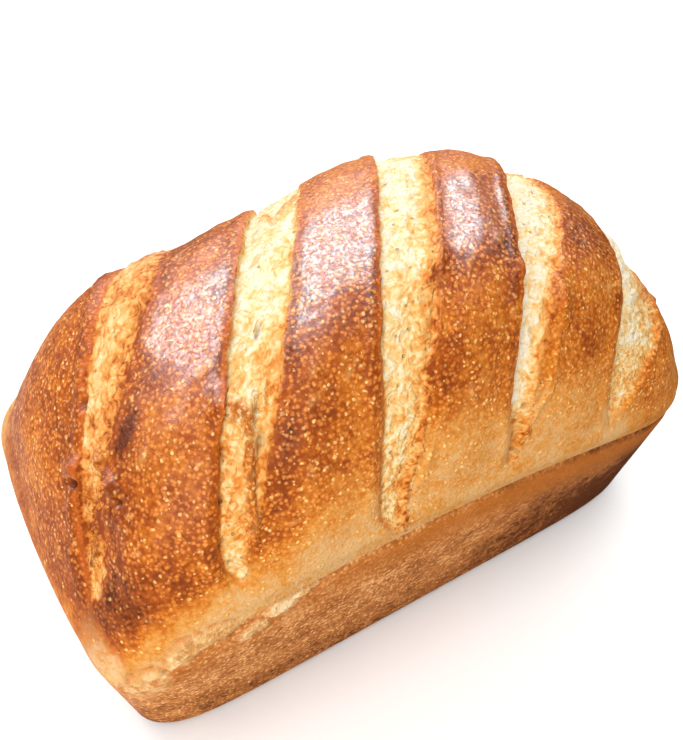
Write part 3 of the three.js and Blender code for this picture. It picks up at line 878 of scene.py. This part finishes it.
def crumbColour(tree, value, torn, middling, fine):
    toasted = layer(tree, value["toast"], (middling, 0.34), (fine, 0.26))
    # near its edge and at the faint lower ends the crumb is toasted; in the creases of its folds and swirls
    # it is darkened, and on their tops lightened, as painted shade
    for browner in (fade(tree, value["crumb"], 2.0, 0, 0, 0.22),
                    fade(tree, torn["Fold"], 0, 0.55, 0.2, -0.05),
                    fade(tree, value["swirl"], 0, 1, 0.1, -0.03),
                    fade(tree, value["faint"], 0, 1, 0, 0.3)):
        toasted = calc(tree, "ADD", toasted, browner)
    browned = layer(tree, value["brown"], (fine, 0.3))
    crumb = ramp(tree, calc(tree, "MAXIMUM", toasted, browned), crustFinish["crumb"])
    # painted shade: the crumb's pores and holes are darkened
    holes = calc(tree, "MAXIMUM", times(tree, torn["Pore"], 0.6), times(tree, value["holes"], 0.6))
    return blend(tree, holes, crumb, crustFinish["pore"])


def tinColour(tree, value, spot, grain, wide, middling, fine):
    x, y, z = put(tree, "SeparateXYZ", {0: spot}).outputs
    # painted shade: the tin wall darkens towards its foot
    level = layer(tree, fade(tree, z, 0, 50, 0.2, 0.48), (middling, 0.26), (fine, 0.36), (wide, 0.24),
                  (grain["Tone"], fade(tree, x, -40, 60, 0.58, 0.34)))
    # painted shade: darker towards the right end, most of all at the front
    shade = times(tree, fade(tree, x, -20, 105, 0.03, -0.48), fade(tree, y, -30, 30, 1, 0.4))
    tin = ramp(tree, calc(tree, "ADD", level, shade), crustFinish["tin"])
    over = value["over"]
    under = times(tree, fade(tree, over, -22, -7), fade(tree, over, -0.5, -3.5),
                  fade(tree, x, -70, 0, 0.3, 0.8))
    return blend(tree, under, tin, crustFinish["gold"])  # golden just under the seam


def bakeCrust():
    material = bpy.data.materials.new("baked crust")
    material.use_nodes = True
    tree = material.node_tree
    shader = tree.nodes["Principled BSDF"]
    look = crustFinish
    spot = scaled(tree, put(tree, "TexCoord").outputs["Object"], 1000.0)  # in millimetres
    value = {name: put(tree, "Attribute", attribute_name=name).outputs["Fac"]
             for name in ("crumb", "place", "toast", "brown", "skin", "pitShade", "holes", "swirl", "bubble",
                          "over", "bakeAndPaintedLight", "speckle", "torn", "crack", "faint")}
    over = value["over"]
    way = put(tree, "Attribute", attribute_name="way").outputs["Vector"]
    clouds = [use(tree, mottle, {"Spot": spot, "Size": size, "Detail": detail})[0]
              for size, detail in look["clouds"]]
    wide, middling, fine = [calc(tree, "SUBTRACT", cloud, 0.5) for cloud in clouds]

    # browned crust with its blisters and creases
    stir = put(tree, "TexNoise", {"Vector": spot, "Scale": look["stirScale"], "Detail": 2.0})
    uneven = moved(tree, spot, stir.outputs["Color"])
    grain = use(tree, pebbles, {"Spot": uneven, "Spacing": look["grainSpacing"]})
    small, broad = [use(tree, blisters, {"Spot": uneven, "Spacing": spacing, "Size": size,
                                         "Share": times(tree, value["speckle"], share)})
                    for spacing, size, share in look["blisters"]]
    much = fade(tree, value["speckle"], 0, 1, 0.06, 0.8)
    # painted shade: the crust is darker between the pebbles, where their tiny shadows fall
    pebbleGapShade = times(tree, calc(tree, "SUBTRACT", look["gapLevel"], grain["Top"]), much)
    level = layer(tree, value["bakeAndPaintedLight"], *zip((wide, middling, fine), look["bakedClouds"]))
    crust = ramp(tree, layer(tree, level, (pebbleGapShade, look["pebbleGapShadeShare"])), look["baked"])
    creases = use(tree, wrinkles, {"Spot": spot, "Size": look["creaseSize"]})[0]
    leather = fade(tree, over, 30, 70)
    creased = times(tree, rest(tree, creases), leather)
    crust = blend(tree, times(tree, creased, look["creaseShare"]), crust, look["crease"])
    crust = blend(tree, times(tree, grain["Tone"], much), crust, look["pebble"])
    dots = calc(tree, "MAXIMUM", small["Dot"], broad["Dot"])
    dots = calc(tree, "MAXIMUM", dots, times(tree, value["bubble"], 0.3))
    dots = times(tree, dots, fade(tree, value["bakeAndPaintedLight"], 0.55, 0.9, 0.86, 0.5))
    crust = blend(tree, dots, crust, look["blister"])

    torn = use(tree, swirls, {"Way": way, "Spot": spot})
    crumb = crumbColour(tree, value, torn, middling, fine)
    tin = tinColour(tree, value, spot, grain, wide, middling, fine)

    # where each of them shows
    edge = layer(tree, value["crumb"], (fine, 0.6), (middling, 0.5))
    covered = times(tree, value["skin"], fade(tree, clouds[2], 0.1, 0.5))
    isCrumb = times(tree, fade(tree, edge, -0.4, 0.5), rest(tree, covered))
    worn = calc(tree, "SUBTRACT", fade(tree, clouds[1], 0.1, 0.7, 0.4, 1), value["faint"], clamp=True)
    lip = times(tree, fade(tree, edge, -1.8, -0.5), fade(tree, edge, 0.6, -0.2),
                fade(tree, value["place"], 0, 1, 0.7, 0.15), worn)
    above = fade(tree, layer(tree, over, (fine, 1.6)), -0.8, 0.8)
    colour = blend(tree, isCrumb, crust, crumb)
    colour = blend(tree, lip, colour, look["lip"])
    colour = blend(tree, above, tin, colour)
    shred = ramp(tree, layer(tree, clouds[1], (fine, 0.7)), look["torn"])
    colour = blend(tree, value["torn"], colour, shred)
    colour = blend(tree, times(tree, value["crack"], 0.6), colour, look["lip"])
    # painted shade: the pits are darkened inside
    pitShade = calc(tree, "MULTIPLY", value["pitShade"], 0.8, clamp=True)
    colour = blend(tree, pitShade, colour, look["dark"])
    tree.links.new(colour, shader.inputs["Base Color"])

    rough = look["roughness"]
    gloss = fade(tree, over, 8, 60, rough["shoulder"], rough["crust"])
    gloss = fade(tree, isCrumb, 0, 1, layer(tree, gloss, (middling, rough["uneven"])), rough["crumb"])
    tree.links.new(fade(tree, above, 0, 1, rough["tin"], gloss), shader.inputs["Roughness"])

    # a thin gloss on the crown, broken up by its grain
    grit = use(tree, mottle, {"Spot": spot, "Size": look["gritSize"], "Detail": 3.0})[0]
    parts = put(tree, "SeparateXYZ", {0: way}).outputs
    bare = times(tree, rest(tree, isCrumb), above)
    coat = times(tree, fade(tree, over, 20, 66, 0.03, 1), fade(tree, grit, 0.1, 0.85, 0.4, 1),
                 fade(tree, parts[1], 4, 14, 1, 0.15), fade(tree, parts[0], -94, -84, 0.3, 1),
                 fade(tree, parts[0], -50, -25, 0.84, 1), fade(tree, value["crumb"], -3.6, -1.2, 1, 0.2),
                 rest(tree, times(tree, creased, 0.7)), rest(tree, value["skin"]),
                 times(tree, bare, look["coat"]))
    tree.links.new(coat, shader.inputs["Coat Weight"])
    shader.inputs["IOR"].default_value = look["bend"]
    shader.inputs["Coat Roughness"].default_value = look["coatRoughness"]
    shader.inputs["Coat IOR"].default_value = look["coatBend"]

    domes = layer(tree, times(tree, grain["Top"], look["grainHeight"]), (small["Dome"], look["smallHeight"]),
                  (broad["Dome"], look["broadHeight"]), (fine, look["fineHeight"]))
    domes = calc(tree, "ADD", domes, times(tree, creases, leather, look["creaseHeight"]))
    ragged = layer(tree, times(tree, fine, look["crumbFine"]), (torn["Height"], look["crumbHeight"]))
    pitted = layer(tree, times(tree, fine, look["fineHeight"]), (grain["Top"], look["tinGrain"]))
    relief = fade(tree, above, 0, 1, pitted, fade(tree, isCrumb, 0, 1, domes, ragged))
    relief = layer(tree, relief, (times(tree, value["torn"], clouds[2]), look["tornHeight"]))
    bump = put(tree, "Bump", {"Height": relief, "Distance": 0.001, "Strength": 1.0})
    tree.links.new(bump.outputs[0], shader.inputs["Normal"])
    return material


loaf.data.materials.append(bakeCrust())
print("crust baked")

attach(loaf, "root")
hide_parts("loaf")


studio = {
    "floorSize": 6, "floorColour": (238, 238, 240), "floorRoughness": 0.7, "skyStrength": 0.3,
    "cameraPlace": (-0.10305, -0.15078, 0.31069), "cameraAim": (0.00869, 0.02346, 0.05),
    "cameraRoll": 3.23, "lens": 43.36, "sensor": 36,
    "lights": {
        "window": {"place": (0.09, 0.83, 0.95), "size": (2.5, 1.56), "power": 115,
                   "colour": (0.78, 0.9, 1), "mirrored": True, "lighting": False},
        "back light": {"place": (0.1, 1.0, 0.9), "size": (1.6, 1.0), "power": 15.5,
                       "colour": (1, 0.97, 0.93)},
        "top softbox": {"place": (-0.3, -0.1, 1.3), "size": (0.6, 0.6), "power": 9,
                        "colour": (1, 0.98, 0.94)},
        "front fill": {"place": (-0.75, -0.75, 0.55), "size": (0.8, 0.6), "power": 10.8,
                       "colour": (1, 0.97, 0.92), "aim": (0, 0, 0.08)},
        "side fill": {"place": (0.8, 0.15, 0.7), "size": (0.7, 0.7), "power": 4,
                      "colour": (1, 0.98, 0.94)},
        "table glow": {"place": (-0.21, 0.09, 0.002), "size": (0.2, 0.3), "power": 0.25,
                       "colour": (1, 0.84, 0.76), "aim": (-0.21, 0.09, 1), "mirrored": True,
                       "lighting": False},
    },
}


def layFloor():
    bpy.ops.object.select_all(action="DESELECT")
    bpy.ops.mesh.primitive_plane_add(size=studio["floorSize"])
    floor = bpy.context.object
    floor.name = "floor"
    finish = bpy.data.materials.new("floor paint")
    finish.use_nodes = True
    shader = finish.node_tree.nodes["Principled BSDF"]
    shader.inputs["Base Color"].default_value = paint(*studio["floorColour"])
    shader.inputs["Roughness"].default_value = studio["floorRoughness"]
    floor.data.materials.append(finish)
    floor.visible_glossy = False


def hangLight(name, place, size, power, colour, aim=(0, 0, 0.1), mirrored=False, lighting=True):
    bpy.ops.object.light_add(type="AREA", location=place)
    lamp = bpy.context.object
    lamp.name = name
    lamp.data.shape = "RECTANGLE"
    lamp.data.size, lamp.data.size_y = size
    lamp.data.energy = power
    lamp.data.color = colour
    lamp.visible_glossy = mirrored  # only the window and the table's glow show in the glossy crust
    lamp.visible_diffuse = lighting
    lamp.visible_camera = False
    lamp.rotation_euler = (Vector(aim) - Vector(place)).to_track_quat("-Z", "Y").to_euler()


def placeCamera():
    place, aim = Vector(studio["cameraPlace"]), Vector(studio["cameraAim"])
    bpy.ops.object.camera_add(location=place)
    camera = bpy.context.object
    camera.rotation_mode = "QUATERNION"
    roll = Quaternion((0, 0, 1), math.radians(studio["cameraRoll"]))
    camera.rotation_quaternion = (aim - place).to_track_quat("-Z", "Y") @ roll
    camera.data.lens = studio["lens"]
    camera.data.sensor_width = studio["sensor"]
    camera.data.clip_start = 0.01
    bpy.context.scene.camera = camera


layFloor()
for lightName, light in studio["lights"].items():
    hangLight(lightName, **light)
placeCamera()

sky = bpy.data.worlds.new("studio")
sky.use_nodes = True
sky.node_tree.nodes["Background"].inputs["Color"].default_value = (1, 1, 1, 1)
sky.node_tree.nodes["Background"].inputs["Strength"].default_value = studio["skyStrength"]
sky.cycles_visibility.glossy = False
bpy.context.scene.world = sky
bpy.context.scene.view_settings.view_transform = "Standard"
print("studio set")
